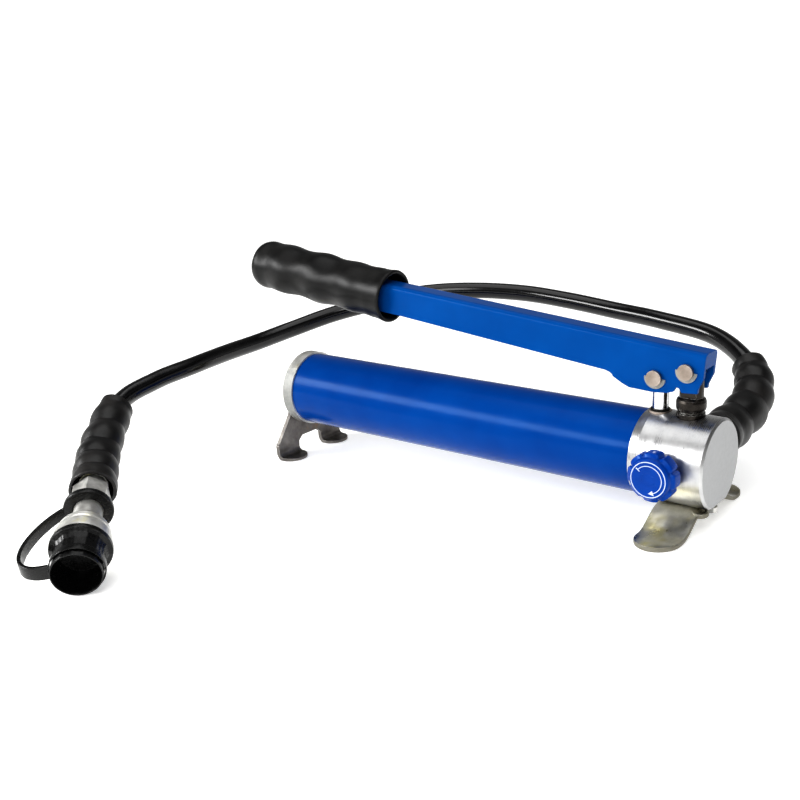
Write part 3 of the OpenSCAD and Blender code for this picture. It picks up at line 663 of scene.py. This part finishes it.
def make_strap():
    """The strap: a ring round the neck, a band in a loop and a ring round the cap."""
    made = bmesh.new()
    neck_ring, cap_ring = (9.3, 15.6, -66.5, -62.5), (15.8, 16.6, -9, -4)
    for inside, outside, low, high in (neck_ring, cap_ring):
        corners = [
            (inside, low, 0.5), (outside, low, 1), (outside, high, 1), (inside, high, 0.5)
        ]
        lathe(made, COUPLER, fillet(corners, closed=True))
    # The band follows one Bezier curve in the plane of the coupler's -y and z axes.
    a, b, c, d = (Vector(p) for p in ((14.4, -64.5), (35, -46), (47, -1), (16.2, -6.4)))
    thick, count = 2.5, 48
    turn_in = COUPLER.to_3x3()
    across = turn_in @ Vector((1, 0, 0))
    stations = []
    for k in range(count + 1):
        t = k / count
        q = 1 - t
        p = q**3 * a + 3 * q * q * t * b + 3 * q * t * t * c + t**3 * d
        slope = 3 * q * q * (b - a) + 6 * q * t * (c - b) + 3 * t * t * (d - c)
        slope.normalize()
        normal = turn_in @ Vector((0, slope.y, slope.x))
        half = 3.6 + 1.2 * t
        stations.append((at(COUPLER, 0, -p.x, p.y), across, normal, half, thick))
    strip(made, stations, corner=0.8)
    return add_piece("cap_band", made, "pump", "cap_black", ["cap_strap"])


def make_spring():
    """The spring behind the coupler's poppet, at one fixed length."""
    made = bmesh.new()
    seat, length, radius, wire, turns, travel = -60, 23.9, 4.6, 0.6, 6, 3.5
    steps = 240
    rings = []
    for k in range(steps + 1):
        a = TAU * turns * k / steps
        z = seat + wire + (length - 2 * wire) * k / steps
        centre = at(COUPLER, radius * math.cos(a), radius * math.sin(a), z)
        side = COUPLER.to_3x3() @ Vector((math.cos(a), math.sin(a), 0))
        rings.append(ring(centre, side, COUPLER_AXIS, wire * MM, 12))
    skin(made, rings)
    piece = add_piece("poppet_coil", made, "pump", "steel", ["poppet_spring"])
    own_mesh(piece)
    return piece


cap, strap, spring = make_cap(), make_strap(), make_spring()
[on_hose(d)[0] for d in stops]


# ---- grip ----
def make_grip():
    """The rubber grip: finger waves, a rounded end and a hollow mouth round the lever."""
    made = bmesh.new()
    length, front, rise, droop = 129, 229, 2.8, 1.6
    finger, fade_start, fade_span, dome = 34, 12, 16, 10
    place = LEVER @ Matrix.Translation((front * MM, 0, rise * MM)) @ turn("Y", 90 - droop)

    def waves(r, z, angle):
        if z > length - 2 or r < 16:
            return r
        fade_in = min(max((z - fade_start) / fade_span, 0), 1)
        fade_out = min(max((length - z) / fade_span, 0), 1)
        wave = math.cos(TAU * (z + 1) / finger + 0.5 * math.sin(angle))
        side = 0.5 + 0.6 * abs(math.sin(angle))
        dent = 0.3 * math.cos(2 * angle + TAU * z / (2 * finger))
        spot = Vector((z * 0.06, 1.4 * math.cos(angle), 1.4 * math.sin(angle)))
        lump = 0.4 * noise.noise(spot)
        return r + fade_in * fade_out * (0.95 * side * wave + dent - 0.35) + lump

    floor = [(AXIS_RADIUS, 14), (9, 14), (13.4, 13.6), (14.8, 12), (15.0, 8)]
    lip = [(15.5, 3), (16.1, 1), (16.9, 0.1), (17.8, -0.3), (18.6, 0.2)]
    collar = [(18.9, 1.2), (18.7, 3), (18.2, 6), (17.9, 10)]
    body = [(18.0 + 0.7 * z / length, z) for z in range(13, length - dome, 2)]
    end = [
        (18.7 * math.cos(a) ** 0.3, length - dome + dome * math.sin(a))
        for a in (math.pi / 2 * k / 16 for k in range(16))
    ]
    outline = floor + lip + collar + body + end + [(AXIS_RADIUS, length)]
    lathe(made, place, outline, 112, waves, wrap=False)
    return add_piece("grip_cover", made, "lever", "grip_rubber", ["lever_grip"], crease=60)


make_grip()


# ---- release knob ----
KNOB = PUMP @ Matrix.Translation((-0.026, 0, 0)) @ turn("X", 90)


def make_knob():
    """The knob: a lobed cap on the spindle, with a disc in the middle of its front."""
    made = bmesh.new()
    lobes, depth = 8, 1.7

    def grips(r, z, angle):
        if r < 13.2 or z > 43:
            return r
        return r - depth * max(0.0, math.cos(lobes * (angle + math.pi / lobes))) ** 5

    outline = fillet(
        [
            (4.06, 43.8), (4.06, 32.6), (11.2, 32.4, 0.4), (14.6, 32.4, 0.9),
            (15.5, 34, 0.8), (15.5, 41.2, 1.3), (13.1, 42.4, 0.6), (12.7, 44, 0.5),
            (11.9, 45, 0.6), (4.06, 45),
        ],
        closed=True,
    )
    lathe(made, KNOB, outline, 160, grips)
    disc = [(AXIS_RADIUS, 44.96), (4.2, 44.96), (4.2, 43.9), (AXIS_RADIUS, 43.9)]
    lathe(made, KNOB, disc, 48)
    add_piece("knob_grip", made, "release_knob", "knob_blue", ["release_knob"], crease=40)


def make_dial():
    """The printed dial: a ring, and an arc with a bar at one end and an arrow at the other."""
    made = bmesh.new()
    front, proud = 44.97, 45.12
    arc_start, arc_step, arc_count = 140, 4, 52
    lathe(made, KNOB, [(10.7, front), (11.2, front), (11.2, proud), (10.7, proud)], 128)

    def flat(points):
        low = [made.verts.new(at(KNOB, x, y, front)) for x, y in points]
        high = [made.verts.new(at(KNOB, x, y, proud)) for x, y in points]
        made.faces.new(low)
        made.faces.new(high)
        for i in range(len(points)):
            j = (i + 1) % len(points)
            made.faces.new((low[i], low[j], high[j], high[i]))

    def polar(r, degrees):
        a = math.radians(degrees)
        return (r * math.cos(a), r * math.sin(a))

    def sector(inside, outside, start, end):
        flat([polar(inside, start), polar(outside, start), polar(outside, end), polar(inside, end)])

    arc = [arc_start - arc_step * k for k in range(arc_count + 1)]
    for a, b in zip(arc, arc[1:]):
        sector(8.3, 8.75, a, b)
    sector(7.0, 9.9, 139, 143)
    flat([polar(6.9, -67), polar(10.1, -67), polar(8.6, -88)])
    add_piece("knob_mark", made, "release_knob", "knob_white", ["knob_dial"])


make_knob()
make_dial()


# ---- feet ----
def make_front_foot():
    """The front foot: one pressed leaf, low at both tips, with a small lug in front."""
    made = bmesh.new()
    middle, width, tip, thick = 166.7, 14.5, 58.7, 3
    crown, flank, height = 13, 29, 10
    across = Vector((1, 0, 0))

    def rise(y):
        t = min(max((abs(y) - crown) / flank, 0), 1)
        return height * (0.5 + 0.5 * math.cos(math.pi * t))

    stations = []
    count = 120
    for k in range(count + 1):
        y = -tip * math.cos(math.pi * k / count)
        inside = max(abs(y) - (tip - width), 0)
        half = max(math.sqrt(max(width**2 - inside**2, 0)), 0.25)
        slope = (rise(y + 0.1) - rise(y - 0.1)) / 0.2
        normal = Vector((0, -slope, 1)).normalized()
        centre = Vector((middle, y, rise(y) + thick / 2)) * MM
        stations.append((centre, across, normal, half, thick))
    strip(made, stations, corner=0.9)
    lug = Matrix.Translation(Vector((middle + 14.5, -16, 9.6)) * MM) @ turn("X", 6)
    outline = [
        (AXIS_RADIUS, 0), (5, 0, 0.7), (5, 3, 0.7), (2.4, 3, 0.3), (2.2, 1.6),
        (AXIS_RADIUS, 1.6),
    ]
    lathe(made, lug, fillet(outline), 48, wrap=False)
    add_piece("front_leaf", made, "pump", "yellow_zinc", ["front_foot"])


make_front_foot()


# ---- studio ----
def add_floor():
    """A plain pale floor that glows a little, so that it comes out white like the photo's."""
    made = bmesh.new()
    bmesh.ops.create_circle(made, cap_ends=True, radius=1.5, segments=96)
    mesh = bpy.data.meshes.new("floor")
    made.to_mesh(mesh)
    made.free()
    floor = bpy.data.objects.new("floor", mesh)
    floor.location.z = -0.0003
    bpy.context.scene.collection.objects.link(floor)
    f = Finish("floor", roughness=0.75, emission_strength=0.4)
    f.set("Emission Color", WHITE)
    f.set("Base Color", f.mix(f.noise(3, 2), rgb(246, 246, 244), rgb(242, 242, 240)))
    mesh.materials.append(f.material)


def add_world():
    """A white backdrop to look at, and a softer room that lights the pump."""
    backdrop = 1.1
    # The room's brightness, from level with the pump to overhead.
    stops = ((0.0, 0.5), (0.12, 0.48), (0.35, 0.24), (0.7, 0.08), (1.0, 0.08))
    world = bpy.data.worlds.new("studio")
    world.use_nodes = True
    tree = world.node_tree
    source = tree.nodes.new("ShaderNodeTexCoord")
    split = tree.nodes.new("ShaderNodeSeparateXYZ")
    ramp = tree.nodes.new("ShaderNodeValToRGB")
    shades = ramp.color_ramp.elements
    while len(shades) < len(stops):
        shades.new(0.5)
    for shade, (height, level) in zip(shades, stops):
        shade.position = height
        shade.color = (level, level, level, 1)
    sweep = tree.nodes.new("ShaderNodeBackground")
    sweep.inputs["Color"].default_value = (backdrop, backdrop, backdrop, 1)
    rays = tree.nodes.new("ShaderNodeLightPath")
    either = tree.nodes.new("ShaderNodeMixShader")
    room = tree.nodes["Background"]
    tree.links.new(source.outputs["Generated"], split.inputs[0])
    tree.links.new(split.outputs["Z"], ramp.inputs[0])
    tree.links.new(ramp.outputs[0], room.inputs["Color"])
    tree.links.new(rays.outputs["Is Camera Ray"], either.inputs[0])
    tree.links.new(room.outputs[0], either.inputs[1])
    tree.links.new(sweep.outputs[0], either.inputs[2])
    tree.links.new(either.outputs[0], tree.nodes["World Output"].inputs["Surface"])
    bpy.context.scene.world = world


def add_light(name, azimuth, elevation, distance, size, power):
    """A soft box that looks at the pump from a direction in degrees."""
    data = bpy.data.lights.new(name, "AREA")
    data.shape = "RECTANGLE"
    data.size, data.size_y = size
    data.energy = power
    light = bpy.data.objects.new(name, data)
    way = heading(math.radians(azimuth), math.radians(elevation))
    light.location = way * distance
    light.rotation_euler = way.to_track_quat("Z", "Y").to_euler()
    bpy.context.scene.collection.objects.link(light)


add_floor()
add_world()
add_light("overhead", azimuth=0, elevation=90, distance=2.4, size=(2.6, 2.6), power=30)
add_light("key", azimuth=-42, elevation=27, distance=1.8, size=(1.5, 0.45), power=32)
add_light("side", azimuth=30, elevation=38, distance=2.0, size=(1.0, 1.0), power=14)
bpy.context.scene.view_settings.view_transform = "Standard"
bpy.context.scene.view_settings.look = "Medium High Contrast"
